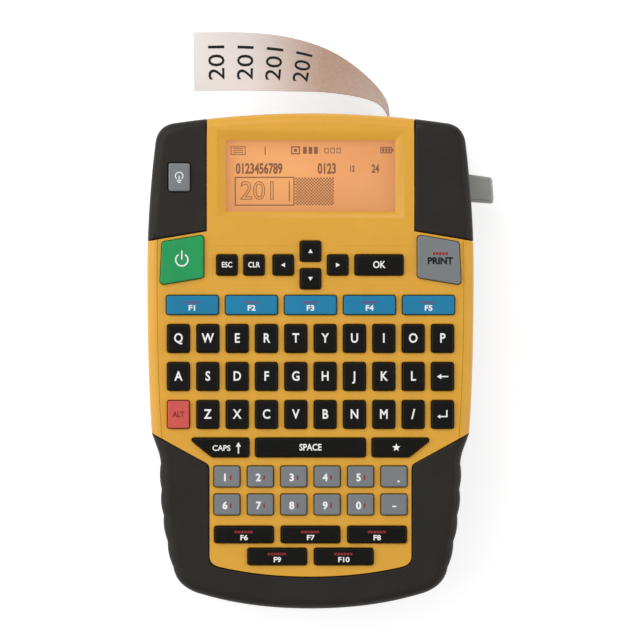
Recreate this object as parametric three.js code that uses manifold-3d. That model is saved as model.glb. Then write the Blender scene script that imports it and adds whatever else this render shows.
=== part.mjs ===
// Handheld label maker with a full keypad, lying on its back.
// Units are millimetres. +X is the user's right, +Y points to the display end and +Z out of the keypad.
// The origin is the centre of the flat back. The group holds one named mesh for each sub-part.
import * as THREE from 'three';
import { mergeVertices } from 'three/addons/utils/BufferGeometryUtils.js';
import Module from 'manifold-3d';

const wasm = await Module();
wasm.setup();

// ---------------------------------------------------------------- driving dimensions

const HALF_WIDTH = 65.4;
const HALF_LENGTH = 99.2;
const DECK_Z = 60; // front face
const EDGE_RADIUS = 4; // rolled edge of the front and the back
const WALL = 2.5;
const PARTING_Z = 32; // joint between the front and the rear shell
const GAP = 0.3; // clearance between two pieces that touch on the real object
const CURVE_STEPS = 4;

const KEY_TOP = DECK_Z + 1.6;
const KEY_BASE = 53.6;
const KEY_CLEARANCE = 0.3;
const FLANGE = { reach: 0.5, height: 1.1 };
const KEY_TRAVEL = 1.2;

const LETTER = { width: 9.0, height: 11.4, pitch: 11.73, rowPitch: 15.2, topRowY: 9 };
const NUMBER = { width: 10.6, height: 8.6, pitch: 13.36, rowPitch: 11.2, topRowY: -46.2 };
const SHORTCUT = { width: 21.0, height: 7.9, pitch: 23.6, y: 22.4 };
const FUNCTION = { width: 23.7, height: 6.9, pitch: 26.6, rowPitch: 8.8, topRowY: -69.4 };
const CURSOR = { size: 8.4, reach: 10.9, spread: 5.5, y: 38.4 };
const SPACE_ROW = { y: -34.6, height: 7.8, spaceHalf: 22.1, sideStart: 24.5, sideEnd: 48.9, slant: 9.7 };

const DISPLAY = { halfWidth: 34, low: 59.8, high: 88.4, bevel: 3.4 };
const GUARD = { inner: 41.6, low: 52, slope: 0.166 };
const PANEL = { half: 40.5, low: -86.4, shoulder: -41, slope: 0.549 };

const TAPE = { x: 32, width: 24, thickness: 0.4, midZ: 17, start: 42.4 };
const BLADE = { y: 88.2, thickness: 1, tip: 35 };
const PLATEN = { x: 37.3, y: 62, radius: 4.8, shaft: 1.5 };
const MOTOR = { x: 52, y: 66, radius: 8 };
const GEAR = { module: 0.8, platenTeeth: 26, pinionTeeth: 12, low: 33.4, high: 36.4, backlash: 0.3 };

const HINGE = { y: 6.2, z: 3.6, pin: 1.2, knuckle: 2.4, bore: 1.5 };
const DOOR = { halfWidth: 47, low: 5.6, high: 91, outer: 0.8, inner: 3 };
const COVER = { halfWidth: 45.1, low: -79.1, high: -25.4 };
const CELL = { radius: 7.2, length: 50.5, count: 6, pitch: 14.35, midY: -52.2, midZ: 10.8 };

// ---------------------------------------------------------------- solids from three.js shapes

function solid(geometry) {
  const bare = geometry.index ? geometry.toNonIndexed() : geometry.clone();
  bare.deleteAttribute('normal');
  bare.deleteAttribute('uv');
  const merged = mergeVertices(bare, 1e-4);
  return new wasm.Manifold(new wasm.Mesh({
    numProp: 3,
    vertProperties: new Float32Array(merged.attributes.position.array),
    triVerts: new Uint32Array(merged.index.array),
  }));
}

function geometryOf(manifold) {
  const mesh = manifold.getMesh();
  const geometry = new THREE.BufferGeometry();
  geometry.setAttribute('position', new THREE.BufferAttribute(new Float32Array(mesh.vertProperties), 3));
  geometry.setIndex(new THREE.BufferAttribute(new Uint32Array(mesh.triVerts), 1));
  geometry.computeVertexNormals();
  return geometry;
}

const join = (first, ...rest) => rest.reduce((made, next) => made.add(next), first);
const cut = (first, ...rest) => rest.reduce((made, next) => made.subtract(next), first);

function box(x0, x1, y0, y1, z0, z1) {
  const geometry = new THREE.BoxGeometry(x1 - x0, y1 - y0, z1 - z0);
  geometry.translate((x0 + x1) / 2, (y0 + y1) / 2, (z0 + z1) / 2);
  return solid(geometry);
}

function prism(points, z0, z1) {
  const shape = new THREE.Shape(points);
  const geometry = new THREE.ExtrudeGeometry(shape, { depth: z1 - z0, bevelEnabled: false });
  geometry.translate(0, 0, z0);
  return solid(geometry);
}

// A round bar from z0 to z1 at (x, y).
function post(x, y, radius, z0, z1, sides = 16) {
  const geometry = new THREE.CylinderGeometry(radius, radius, z1 - z0, sides);
  geometry.rotateX(Math.PI / 2);
  geometry.translate(x, y, (z0 + z1) / 2);
  return solid(geometry);
}

// A round bar along X from x0 to x1.
function barX(x0, x1, y, z, radius, sides = 12) {
  const geometry = new THREE.CylinderGeometry(radius, radius, x1 - x0, sides);
  geometry.rotateZ(Math.PI / 2);
  geometry.translate((x0 + x1) / 2, y, z);
  return solid(geometry);
}

// A round bar along Y from y0 to y1.
function barY(x, y0, y1, z, radius, sides = 12) {
  const geometry = new THREE.CylinderGeometry(radius, radius, y1 - y0, sides);
  geometry.translate(x, (y0 + y1) / 2, z);
  return solid(geometry);
}

const mirrored = (points) => points.map((p) => new THREE.Vector2(-p.x, p.y)).reverse();

// The closed outline whose right half runs from its first to its last point, both on the Y axis.
const symmetric = (half) => [...half, ...mirrored(half).slice(1, -1)];

// Moves each edge of an outline outwards by a distance, inwards if it is negative.
function offset(points, distance) {
  const turn = THREE.ShapeUtils.isClockWise(points) ? -1 : 1;
  const edge = (a, b) => b.clone().sub(a).normalize();
  return points.map((point, i) => {
    const before = edge(points.at(i - 1), point);
    const after = edge(point, points[(i + 1) % points.length]);
    const normal = new THREE.Vector2(before.y + after.y, -before.x - after.x).normalize();
    const miter = distance * turn / Math.max(0.3, normal.x * after.y - normal.y * after.x);
    return point.clone().addScaledVector(normal, miter);
  });
}

// ---------------------------------------------------------------- outlines

function bodyOutline() {
  const half = new THREE.Path();
  half.moveTo(0, HALF_LENGTH);
  half.quadraticCurveTo(28, HALF_LENGTH, 55, HALF_LENGTH - 4);
  half.quadraticCurveTo(61.4, HALF_LENGTH - 5.2, 62.2, HALF_LENGTH - 12.2);
  half.quadraticCurveTo(HALF_WIDTH, 60, HALF_WIDTH, 36);
  half.quadraticCurveTo(HALF_WIDTH, -4, HALF_WIDTH - 1.8, -29);
  half.quadraticCurveTo(HALF_WIDTH - 5, -36, HALF_WIDTH - 5.4, -41);
  half.lineTo(HALF_WIDTH - 5.8, -53);
  half.quadraticCurveTo(58.4, -66, 56, -79);
  half.quadraticCurveTo(53.6, -91, 43, 5.6 - HALF_LENGTH);
  half.quadraticCurveTo(24, -HALF_LENGTH, 0, -HALF_LENGTH);
  return symmetric(half.getPoints(CURVE_STEPS));
}

// The part of the front that the hard front shell covers: all but what the lower grip covers.
function panelOutline() {
  const beyond = HALF_WIDTH + 10;
  const half = new THREE.Path();
  half.moveTo(0, HALF_LENGTH + 20);
  half.lineTo(beyond, HALF_LENGTH + 20);
  half.lineTo(beyond, PANEL.shoulder + (beyond - PANEL.half - 1) * PANEL.slope);
  half.lineTo(PANEL.half + 1, PANEL.shoulder);
  half.quadraticCurveTo(PANEL.half, PANEL.shoulder - 0.6, PANEL.half, PANEL.shoulder - 3);
  half.lineTo(PANEL.half, PANEL.low + 8);
  half.quadraticCurveTo(PANEL.half, PANEL.low + 5, PANEL.half - 3.5, PANEL.low + 4);
  half.quadraticCurveTo(20, PANEL.low, 0, PANEL.low);
  return symmetric(half.getPoints(3));
}

// The top corner on one side of the body (side is 1 for the right), grown by a distance.
function guardOutline(side, grow) {
  const inner = GUARD.inner - grow;
  const outer = HALF_WIDTH + 10;
  const low = GUARD.low - grow;
  return [
    [inner, HALF_LENGTH + 20],
    [inner, low],
    [outer, low - (outer - inner) * GUARD.slope],
    [outer, HALF_LENGTH + 20],
  ].map(([x, y]) => new THREE.Vector2(side * x, y));
}

const rectangle = (x, y, width, height) => [
  [-1, -1], [1, -1], [1, 1], [-1, 1],
].map(([u, v]) => new THREE.Vector2(x + u * width / 2, y + v * height / 2));

const outline = bodyOutline();
const inside = offset(outline, -WALL);

// ---------------------------------------------------------------- keypad layout

const key = (x, y, width, height) => ({ caps: [rectangle(x, y, width, height)] });

// Caps on one pitch along X, joined below the deck by a web.
const keyRow = (x0, y, count, size) => ({
  caps: Array.from({ length: count }, (_, i) => rectangle(x0 + i * size.pitch, y, size.width, size.height)),
});

// A large key under a corner guard: its upper and lower edges slope like the guard's lower edge.
function slopedKey(side) {
  const corners = [[60.4, 30.2], [42.5, 33.2], [42.5, 50.7], [59.6, 47.8]];
  return { caps: [corners.map(([x, y]) => new THREE.Vector2(side * x, y))] };
}

// A key beside the space bar with its outer end cut along the grip's slope.
function slantedKey(side) {
  const { y, height, sideStart, sideEnd, slant } = SPACE_ROW;
  const corners = [
    [sideStart, y - height / 2],
    [sideEnd - slant, y - height / 2],
    [sideEnd, y + height / 2 - 1],
    [sideEnd - 0.4, y + height / 2],
    [sideStart, y + height / 2],
  ];
  return { caps: [corners.map(([x, v]) => new THREE.Vector2(side * x, v))] };
}

function keypad() {
  const column = (i) => (i - 4.5) * LETTER.pitch;
  const row = (i) => LETTER.topRowY - i * LETTER.rowPitch;
  const letter = (c, r) => key(column(c), row(r), LETTER.width, LETTER.height);
  const { size, reach, spread, y } = CURSOR;
  const keys = {
    power_key: slopedKey(-1),
    print_key: slopedKey(1),
    backlight_key: key(-52.5, 73.5, 8.9, 11.6),
    escape_key: key(-33.4, y, size, size),
    clear_key: key(-22.6, y, size, size),
    left_key: key(-reach, y, size, size),
    right_key: key(reach, y, size, size),
    up_key: key(0, y + spread, size, size),
    down_key: key(0, y - spread, size, size),
    ok_key: key(27.4, y, 19.5, size),
    alt_key: letter(0, 2),
    backspace_key: letter(9, 1),
    slash_key: letter(8, 2),
    enter_key: letter(9, 2),
    top_letter_keys: keyRow(column(0), row(0), 10, LETTER),
    middle_letter_keys: keyRow(column(0), row(1), 9, LETTER),
    bottom_letter_keys: keyRow(column(1), row(2), 7, LETTER),
    caps_key: slantedKey(-1),
    space_key: key(0, SPACE_ROW.y, 2 * SPACE_ROW.spaceHalf, SPACE_ROW.height),
    favourites_key: slantedKey(1),
  };
  for (let i = 0; i < 5; i++) {
    keys[`shortcut_key_${i + 1}`] = key((i - 2) * SHORTCUT.pitch, SHORTCUT.y, SHORTCUT.width, SHORTCUT.height);
    const lower = i > 2;
    const x = (lower ? i - 3.5 : i - 1) * FUNCTION.pitch;
    const fy = FUNCTION.topRowY - (lower ? FUNCTION.rowPitch : 0);
    keys[`function_key_${i + 1}`] = key(x, fy, FUNCTION.width, FUNCTION.height);
  }
  ['upper_number_keys', 'lower_number_keys'].forEach((name, i) => {
    keys[name] = keyRow(-2.5 * NUMBER.pitch, NUMBER.topRowY - i * NUMBER.rowPitch, 6, NUMBER);
  });
  return keys;
}

// Caps standing on a flange, or on one web where several caps share a row.
function keySolid({ caps }) {
  const webTop = KEY_BASE + FLANGE.height;
  const bodies = caps.map((cap) => prism(cap, KEY_BASE, KEY_TOP));
  const xs = caps.flat().map((p) => p.x);
  const ys = caps.flat().map((p) => p.y);
  const web = caps.length > 1
    ? box(Math.min(...xs) - FLANGE.reach, Math.max(...xs) + FLANGE.reach,
      Math.min(...ys) + 1, Math.max(...ys) - 1, KEY_BASE, webTop)
    : prism(offset(caps[0], FLANGE.reach), KEY_BASE, webTop);
  return join(web, ...bodies);
}

const keys = keypad();
const keyHoles = Object.values(keys)
  .flatMap(({ caps }) => caps)
  .map((cap) => prism(offset(cap, KEY_CLEARANCE), DECK_Z - WALL - 1, DECK_Z + 1));

// ---------------------------------------------------------------- casing

function roundedBody() {
  const geometry = new THREE.ExtrudeGeometry(new THREE.Shape(outline), {
    depth: DECK_Z - 2 * EDGE_RADIUS,
    bevelThickness: EDGE_RADIUS,
    bevelSize: EDGE_RADIUS,
    bevelOffset: -EDGE_RADIUS,
    bevelSegments: 2,
  });
  geometry.translate(0, 0, EDGE_RADIUS);
  return solid(geometry);
}

const slab = (z0, z1) => box(-HALF_WIDTH - 20, HALF_WIDTH + 20, -HALF_LENGTH - 20, HALF_LENGTH + 20, z0, z1);
const body = roundedBody();
const frontHalf = cut(
  body.intersect(slab(PARTING_Z + GAP / 2, DECK_Z + 1)),
  prism(inside, PARTING_Z, DECK_Z - WALL),
);
const throughFront = (points) => prism(points, PARTING_Z - 1, DECK_Z + 1);

function frontShell() {
  const { halfWidth, low, high, bevel } = DISPLAY;
  const sight = new THREE.ExtrudeGeometry(new THREE.Shape(rectangle(0, (low + high) / 2, 2 * halfWidth, high - low)), {
    depth: 2,
    bevelThickness: WALL,
    bevelSize: bevel,
    bevelSegments: 1,
  });
  sight.translate(0, 0, DECK_Z + 0.01);
  return cut(
    frontHalf.intersect(throughFront(offset(panelOutline(), -GAP / 2))),
    throughFront(guardOutline(-1, GAP)),
    throughFront(guardOutline(1, GAP)),
    prism(rectangle(0, (low + high) / 2, 2 * halfWidth, high - low), DECK_Z - WALL - 1, DECK_Z + 1),
    solid(sight),
    ...keyHoles,
  );
}

const lowerGrip = () => cut(frontHalf, throughFront(offset(panelOutline(), GAP / 2)));
const cornerGuard = (side) => cut(frontHalf.intersect(throughFront(guardOutline(side, 0))), ...keyHoles);

const SCREWS = [[-55, 70], [55, 40], [-42, -87], [42, -87]];

function rearShell() {
  const top = PARTING_Z - GAP / 2;
  const { y, z, bore } = HINGE;
  const hull = cut(
    body.intersect(slab(-1, top)),
    prism(inside, WALL, PARTING_Z + 1),
    box(-DOOR.halfWidth - 0.4, DOOR.halfWidth + 0.4, 3, DOOR.high + 0.4, -1, WALL + 1),
    box(-COVER.halfWidth - 0.4, COVER.halfWidth + 0.4, COVER.low - 0.4, COVER.high + 0.4, -1, WALL + 1),
    box(TAPE.x - 2, TAPE.x + 2, 90, HALF_LENGTH + 2, 3.6, 30.4), // label exit
    box(HALF_WIDTH - 6, HALF_WIDTH + 3, 62.6, 77, 13.5, 24.5), // cutter lever
    box(-36.4, -23.6, 90, HALF_LENGTH + 2, 11.6, 22.4), // power socket
  );
  const lug = (x0, x1) => box(x0, x1, y - 2.6, y + 2.6, WALL - 0.1, z + 2.8);
  const bosses = SCREWS.map(([x, v]) => post(x, v, 3.6, WALL - 0.1, top - 1, 10));
  return cut(
    join(
      hull,
      box(-HALF_WIDTH + 1.5, HALF_WIDTH - 1.5, -4.5, -2, WALL - 0.1, top - 2), // wall between the two bays
      lug(-52, -48.2),
      lug(48.2, 52),
      ...bosses,
    ),
    barX(-53, 53, y, z, bore),
    ...SCREWS.map(([x, v]) => post(x, v, 2.6, -1, 5, 10)),
  );
}

// ---------------------------------------------------------------- display and electronics

const displayWindow = () => box(-36.8, 36.8, 57.2, 91, DECK_Z - WALL - 1.9, DECK_Z - WALL - GAP);
const displayModule = () => join(
  box(-37.4, 37.4, 56.6, 91.6, 48, 54.6),
  box(-DISPLAY.halfWidth, DISPLAY.halfWidth, DISPLAY.low, DISPLAY.high, 54, 55.3), // glass
);
const board = (inset, low, high, z0, z1) => prism(offset(outline, -inset), z0, z1)
  .intersect(box(-HALF_WIDTH, HALF_WIDTH, low, high, z0 - 1, z1 + 1));

function mainBoard() {
  const chip = (x, y, size, height) => box(x - size / 2, x + size / 2, y - size / 2, y + size / 2,
    48.9 - height, 48.9);
  return join(board(5, -84, 54, 48.8, 50.4), chip(-10, 30, 14, 1.6), chip(22, 34, 9, 1.2), chip(-34, 12, 7, 2));
}

// The rubber sheet under the keys.
const keypadMat = () => board(6.5, -83, 53, 50.8, KEY_BASE - KEY_TRAVEL - 0.2);

function powerSocket() {
  const z = 17;
  return join(
    cut(box(-36, -24, 84, 97.4, 12, 22), barY(-30, 88, 99, z, 3)),
    barY(-30, 87, 96, z, 0.9, 8), // centre pin
  );
}

// ---------------------------------------------------------------- printing

function printChassis() {
  const plate = board(4, -0.5, 92, 31, 32.6);
  return cut(
    join(
      plate,
      box(24.6, 31.4, 85.4, 87.8, 4, 31.2), // fixed jaw that the blade shears against
      box(24.6, 31.4, 89.8, 93, 4, 31.2), // guide between the cutter and the exit
      box(35.6, 37.2, 74, 82, 13, 31.2), // seat of the cutter spring
    ),
    post(PLATEN.x, PLATEN.y, 2.2, 30, 34),
  );
}

const printHead = () => join(
  box(27.6, TAPE.x - 0.6, 56, 68, 4.4, 30.7),
  box(27.6, 29, 54, 70, 12, 30.7), // heat sink
);

function gearSolid(teeth, x, y, phase) {
  const pressure = THREE.MathUtils.degToRad(25);
  const pitch = GEAR.module * teeth / 2;
  const base = pitch * Math.cos(pressure);
  const tip = pitch + 0.75 * GEAR.module;
  const root = pitch - 1.1 * GEAR.module;
  const involute = (radius) => {
    const angle = Math.acos(Math.min(1, base / radius));
    return Math.tan(angle) - angle;
  };
  const halfTooth = Math.PI / (2 * teeth) - GEAR.backlash / (2 * pitch);
  const lean = (radius) => halfTooth + involute(pitch) - involute(Math.max(radius, base));
  const radii = [root, Math.max(root + 0.05, base), pitch, tip];
  const points = [];
  for (let i = 0; i < teeth; i++) {
    const middle = phase + i * 2 * Math.PI / teeth;
    const at = (radius, angle) => points.push(
      new THREE.Vector2(x + radius * Math.cos(angle), y + radius * Math.sin(angle)));
    radii.forEach((radius) => at(radius, middle - lean(radius)));
    [...radii].reverse().forEach((radius) => at(radius, middle + lean(radius)));
  }
  return prism(points, GEAR.low, GEAR.high);
}

// Where the pinion lies, seen from the platen. One platen tooth points there, at a gap of the pinion.
const meshAngle = Math.atan2(MOTOR.y - PLATEN.y, MOTOR.x - PLATEN.x);
const platenGear = () => gearSolid(GEAR.platenTeeth, PLATEN.x, PLATEN.y, meshAngle);
const motorPinion = () => join(
  gearSolid(GEAR.pinionTeeth, MOTOR.x, MOTOR.y, meshAngle + Math.PI + Math.PI / GEAR.pinionTeeth),
  post(MOTOR.x, MOTOR.y, 1, GEAR.high - 0.1, GEAR.high + 0.6, 8),
);
const driveMotor = () => join(
  post(MOTOR.x, MOTOR.y, MOTOR.radius, GEAR.high + 1, 53, 20),
  post(MOTOR.x, MOTOR.y, 2.6, 52.9, 54.6, 10),
);
const platenRoller = () => join(
  post(PLATEN.x, PLATEN.y, PLATEN.radius, 4.6, 30, 20),
  post(PLATEN.x, PLATEN.y, PLATEN.shaft, 3.6, GEAR.low - GAP, 12),
);

// The cassette: a flat case with a foot from which the tape leaves, and two open reel hubs.
function labelCassette() {
  const low = 4.6;
  const high = 30.4;
  return cut(
    join(box(-50, 26.4, 12, 82, low, high), box(26.3, 35.4, 12, TAPE.start - GAP, low, high)),
    post(-28, 48, 4, low - 1, low + 6, 12),
    post(8, 60, 3, low - 1, low + 6, 12),
  );
}

const labelTape = () => box(TAPE.x - TAPE.thickness / 2, TAPE.x + TAPE.thickness / 2,
  TAPE.start, BLADE.y - 0.5, TAPE.midZ - TAPE.width / 2, TAPE.midZ + TAPE.width / 2);

// A box bent along the label's route. It leaves on edge, then curls left and turns flat.
function printedLabel() {
  const route = new THREE.CatmullRomCurve3([
    [TAPE.x, BLADE.y + BLADE.thickness + 0.7, TAPE.midZ],
    [TAPE.x, HALF_LENGTH - 1.5, TAPE.midZ],
    [28.8, 105.5, TAPE.midZ + 1],
    [19.5, 112, TAPE.midZ + 3],
    [5, 117.6, TAPE.midZ + 6],
    [-12, 120.4, TAPE.midZ + 9],
    [-30, 121.2, TAPE.midZ + 11],
    [-47.4, 121, TAPE.midZ + 12],
  ].map((p) => new THREE.Vector3(...p)));
  const up = new THREE.Vector3(0, 0, 1);
  const straightShare = 0.07;
  const turnPower = 1.2;
  const strip = new THREE.BoxGeometry(1, TAPE.width, TAPE.thickness, 24, 6, 1);
  const position = strip.getAttribute('position');
  for (let i = 0; i < position.count; i++) {
    const share = position.getX(i) + 0.5;
    const centre = route.getPointAt(share);
    const along = route.getTangentAt(share);
    const begun = THREE.MathUtils.clamp((share - straightShare) / (1 - straightShare), 0, 1);
    const turned = Math.sin(begun * Math.PI / 2) ** turnPower * Math.PI / 2;
    const outward = new THREE.Vector3().crossVectors(along, up).normalize();
    const across = outward.multiplyScalar(Math.sin(turned)).addScaledVector(up, -Math.cos(turned));
    const face = new THREE.Vector3().crossVectors(along, across).normalize();
    centre.addScaledVector(across, position.getY(i)).addScaledVector(face, position.getZ(i));
    position.setXYZ(i, centre.x, centre.y, centre.z);
  }
  return solid(strip);
}

// ---------------------------------------------------------------- cutter

// A side push: the tab stands out of the right flank, and its arm carries the blade.
function cutterLever() {
  const tab = [[62.4, 64.6], [74.6, 63.7], [74.4, 69], [73.8, 74.3], [62.4, 75.9]]
    .map(([x, y]) => new THREE.Vector2(x, y));
  return join(
    prism(tab, 15, 23),
    box(48, 62.6, 66, 74, 16, 22),
    box(48, 54, 66, 91, 16, 22),
  );
}

const cutterBlade = () => box(BLADE.tip, 47.7, BLADE.y, BLADE.y + BLADE.thickness, 4.4, 30.4);

function cutterSpring() {
  const wire = 0.45;
  const radius = 2.6;
  const turns = 4;
  const ends = [37.5 + wire, 47.7 - wire];
  class Helix extends THREE.Curve {
    getPoint(share, target = new THREE.Vector3()) {
      const angle = share * turns * 2 * Math.PI;
      return target.set(THREE.MathUtils.lerp(...ends, share),
        78 + radius * Math.cos(angle), 19 + radius * Math.sin(angle));
    }
  }
  const section = new THREE.Shape(new THREE.Path().absarc(0, 0, wire, 0, 2 * Math.PI).getPoints(3).slice(1));
  return solid(new THREE.ExtrudeGeometry(section, { steps: turns * 12, extrudePath: new Helix() }));
}

// ---------------------------------------------------------------- door, cover and batteries

const WINDOW = { left: -24, right: 16, low: 34, high: 58 };

function cassetteDoor() {
  const { halfWidth, low, high, outer, inner } = DOOR;
  const knuckle = (x0, x1) => barX(x0, x1, HINGE.y, HINGE.z, HINGE.knuckle);
  return cut(
    join(box(-halfWidth, halfWidth, low, high, outer, inner), knuckle(-36, -26), knuckle(26, 36)),
    barX(-50, 50, HINGE.y, HINGE.z, HINGE.bore),
    box(WINDOW.left, WINDOW.right, WINDOW.low, WINDOW.high, outer - 1, inner + 1),
  );
}

const cassetteWindow = () => box(WINDOW.left + GAP, WINDOW.right - GAP, WINDOW.low + GAP, WINDOW.high - GAP,
  DOOR.outer + 0.3, DOOR.inner - 0.4);
const doorHingePin = () => barX(-51.6, 51.6, HINGE.y, HINGE.z, HINGE.pin);

// The cover has a thumb notch near its upper edge.
const batteryCover = () => cut(
  box(-COVER.halfWidth, COVER.halfWidth, COVER.low, COVER.high, DOOR.outer, DOOR.inner),
  box(-9, 9, COVER.high - 7, COVER.high - 4, DOOR.outer - 1, DOOR.outer + 1.2),
);

const cellX = (i) => (i - (CELL.count - 1) / 2) * CELL.pitch;

// Six touching cells, alternately reversed, each with its raised positive end.
function batteryCells() {
  const cells = [];
  for (let i = 0; i < CELL.count; i++) {
    const way = i % 2 ? 1 : -1;
    const end = CELL.midY + way * CELL.length / 2;
    const nub = [end - way * 1.2, end].sort((a, b) => a - b);
    const can = [CELL.midY - way * CELL.length / 2, end - way].sort((a, b) => a - b);
    cells.push(barY(cellX(i), ...can, CELL.midZ, CELL.radius, 16));
    cells.push(barY(cellX(i), ...nub, CELL.midZ, 2.6, 8));
  }
  return join(...cells);
}

// The tray above the cells, with a contact wall at each end.
function batteryTray() {
  const half = CELL.count * CELL.pitch / 2 + 0.8;
  const reach = CELL.length / 2 + 0.3;
  const [low, high] = [CELL.midY - reach, CELL.midY + reach];
  return join(
    box(-half, half, low - 1, high + 1, 18.3, 20),
    box(-half, half, low - 1, low, 4, 18.4),
    box(-half, half, high, high + 1, 4, 18.4),
  );
}

// ---------------------------------------------------------------- materials and assembly

const finish = (color, roughness, metalness = 0) => new THREE.MeshStandardMaterial({ color, roughness, metalness });
const YELLOW = finish('#e0a22c', 0.5);
const RUBBER = finish('#2b2725', 0.8);
const BLACK = finish('#1c1a1a', 0.6);
const GREY_KEY = finish('#7d8186', 0.6);
const GREEN_KEY = finish('#23955a', 0.5);
const BLUE_KEY = finish('#1d7fa8', 0.5);
const RED_KEY = finish('#d65650', 0.5);
const CLEAR = new THREE.MeshStandardMaterial({ color: '#e8a070', roughness: 0.1, transparent: true, opacity: 0.4 });
const LCD = finish('#eda268', 0.3);
const SILICONE = finish('#4a4a4c', 0.7);
const CIRCUIT = finish('#1f5a38', 0.6);
const STEEL = finish('#b8bcc0', 0.3, 1);
const ALUMINIUM = finish('#9aa0a4', 0.4, 1);
const NYLON = finish('#e6e2d6', 0.5);
const GREY_LEVER = finish('#83857d', 0.5);
const TAPE_STOCK = finish('#dcd2c8', 0.6);
const CELL_JACKET = finish('#2f3438', 0.4);

const object = new THREE.Group();

function add(name, manifold, material) {
  const mesh = new THREE.Mesh(geometryOf(manifold), material);
  mesh.name = name;
  object.add(mesh);
}

function keyMaterial(name) {
  if (name === 'power_key') return GREEN_KEY;
  if (name === 'alt_key') return RED_KEY;
  if (name.startsWith('shortcut')) return BLUE_KEY;
  return /print|backlight|number/.test(name) ? GREY_KEY : BLACK;
}

add('front_shell', frontShell(), YELLOW);
add('rear_shell', rearShell(), BLACK);
add('left_corner_guard', cornerGuard(-1), RUBBER);
add('right_corner_guard', cornerGuard(1), RUBBER);
add('lower_grip', lowerGrip(), RUBBER);
add('display_window', displayWindow(), CLEAR);
add('display_module', displayModule(), LCD);
add('main_board', mainBoard(), CIRCUIT);
add('keypad_mat', keypadMat(), SILICONE);
add('power_socket', powerSocket(), BLACK);
add('print_chassis', printChassis(), ALUMINIUM);
add('print_head', printHead(), ALUMINIUM);
add('drive_motor', driveMotor(), STEEL);
add('motor_pinion', motorPinion(), NYLON);
add('platen_gear', platenGear(), NYLON);
add('platen_roller', platenRoller(), RUBBER);
add('label_cassette', labelCassette(), BLACK);
add('label_tape', labelTape(), TAPE_STOCK);
add('printed_label', printedLabel(), TAPE_STOCK);
add('cutter_lever', cutterLever(), GREY_LEVER);
add('cutter_blade', cutterBlade(), STEEL);
add('cutter_spring', cutterSpring(), STEEL);
add('cassette_door', cassetteDoor(), BLACK);
add('cassette_window', cassetteWindow(), CLEAR);
add('door_hinge_pin', doorHingePin(), STEEL);
add('battery_cover', batteryCover(), BLACK);
add('battery_cells', batteryCells(), CELL_JACKET);
add('battery_tray', batteryTray(), BLACK);
for (const [name, layout] of Object.entries(keys)) add(name, keySolid(layout), keyMaterial(name));

export default object;
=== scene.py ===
from math import atan2, copysign, cos, dist, hypot, pi, radians, sin, tan
from collections import namedtuple

import bmesh
import bpy
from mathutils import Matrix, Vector
from mathutils.geometry import tessellate_polygon


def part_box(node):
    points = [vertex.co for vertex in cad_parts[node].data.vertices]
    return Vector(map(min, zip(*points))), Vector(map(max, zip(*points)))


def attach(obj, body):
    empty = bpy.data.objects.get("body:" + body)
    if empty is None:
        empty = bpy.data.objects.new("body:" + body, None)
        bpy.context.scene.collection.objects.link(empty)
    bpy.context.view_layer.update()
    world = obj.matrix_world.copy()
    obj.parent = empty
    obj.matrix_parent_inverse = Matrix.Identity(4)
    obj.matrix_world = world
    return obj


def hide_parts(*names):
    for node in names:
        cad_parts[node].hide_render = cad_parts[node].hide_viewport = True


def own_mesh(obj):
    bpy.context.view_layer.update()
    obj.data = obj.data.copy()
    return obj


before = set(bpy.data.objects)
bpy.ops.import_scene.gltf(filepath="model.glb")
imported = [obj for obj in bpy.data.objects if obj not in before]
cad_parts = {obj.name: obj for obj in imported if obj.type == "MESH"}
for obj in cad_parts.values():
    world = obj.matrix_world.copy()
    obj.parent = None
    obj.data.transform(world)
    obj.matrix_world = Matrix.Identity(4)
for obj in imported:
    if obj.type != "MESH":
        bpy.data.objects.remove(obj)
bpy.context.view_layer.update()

# Shapes are worked out in millimetres and become metres when a piece is made.
MM = 0.001


def box(node):
    """The lowest and highest corner of a CAD node, in millimetres."""
    low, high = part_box(node)
    return low / MM, high / MM


# ---- driving dimensions

DECK_Z = box("front_shell")[1].z
PARTING_Z = box("front_shell")[0].z
REAR_TOP_Z = box("rear_shell")[1].z
KEY_TOP = box("ok_key")[1].z
HALF_WIDTH = box("rear_shell")[1].x
HALF_LENGTH = box("rear_shell")[1].y

ROLL = 3.9  # inset of the inner end of a casing's rolled edge
RELIEF = 4.6  # where a seam's face begins, clear of the rolled edge beside it
DECK_THICKNESS = 2.5
WALL = 2.5  # thickness of the rear shell's wall
FLANGE = 0.5  # how far each key's flange, below the deck, stands out from its cap
CAP_INSET = 0.2  # how much smaller than its CAD cap each key is drawn, for its rounded rim
CAP_DEPTH = 2.2  # how far a cap goes down below the deck's underside
INK_HEIGHT = 0.06
CAP_TOP = KEY_TOP - INK_HEIGHT  # the printed legends end at the height of the CAD caps
LETTER_CAP = (9.0, 11.4)
NUMBER_CAP = (10.6, 8.6)
SLOPED_CAP = [(60.4, 30.2), (59.6, 47.8), (42.5, 50.7), (42.5, 33.2)]
LARGE_KEYS = ("power_key", "print_key")
RUBBER_PROUD = 0.3  # height of the rubber above the yellow face
SEAM = 0.15  # half of the gap at a joint between two casing pieces
GUARD_CORNER = (41.6, 52.0)
GUARD_SLOPE = 0.166
PANEL_HALF = 40.5
PANEL_LOW = -86.4
PANEL_SHOULDER = -41.0
PANEL_SLOPE = 0.549
RIB_TOP, RIB_PITCH, RIB_HEIGHT, RIB_COUNT = -41.0, 10.4, 0.55, 4
WINDOW_LEFT, WINDOW_RIGHT, WINDOW_LOW, WINDOW_HIGH = -34.0, 34.0, 59.8, 88.4
SCREWS = [(-55, 70), (55, 40), (-42, -87), (42, -87)]
CREASE = radians(34)  # sharpest turn between two faces that still shade as one


# ---- materials


def new_material(name):
    made = bpy.data.materials.new(name)
    made.use_nodes = True
    tree = made.node_tree
    return made, tree, tree.nodes["Principled BSDF"]


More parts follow.
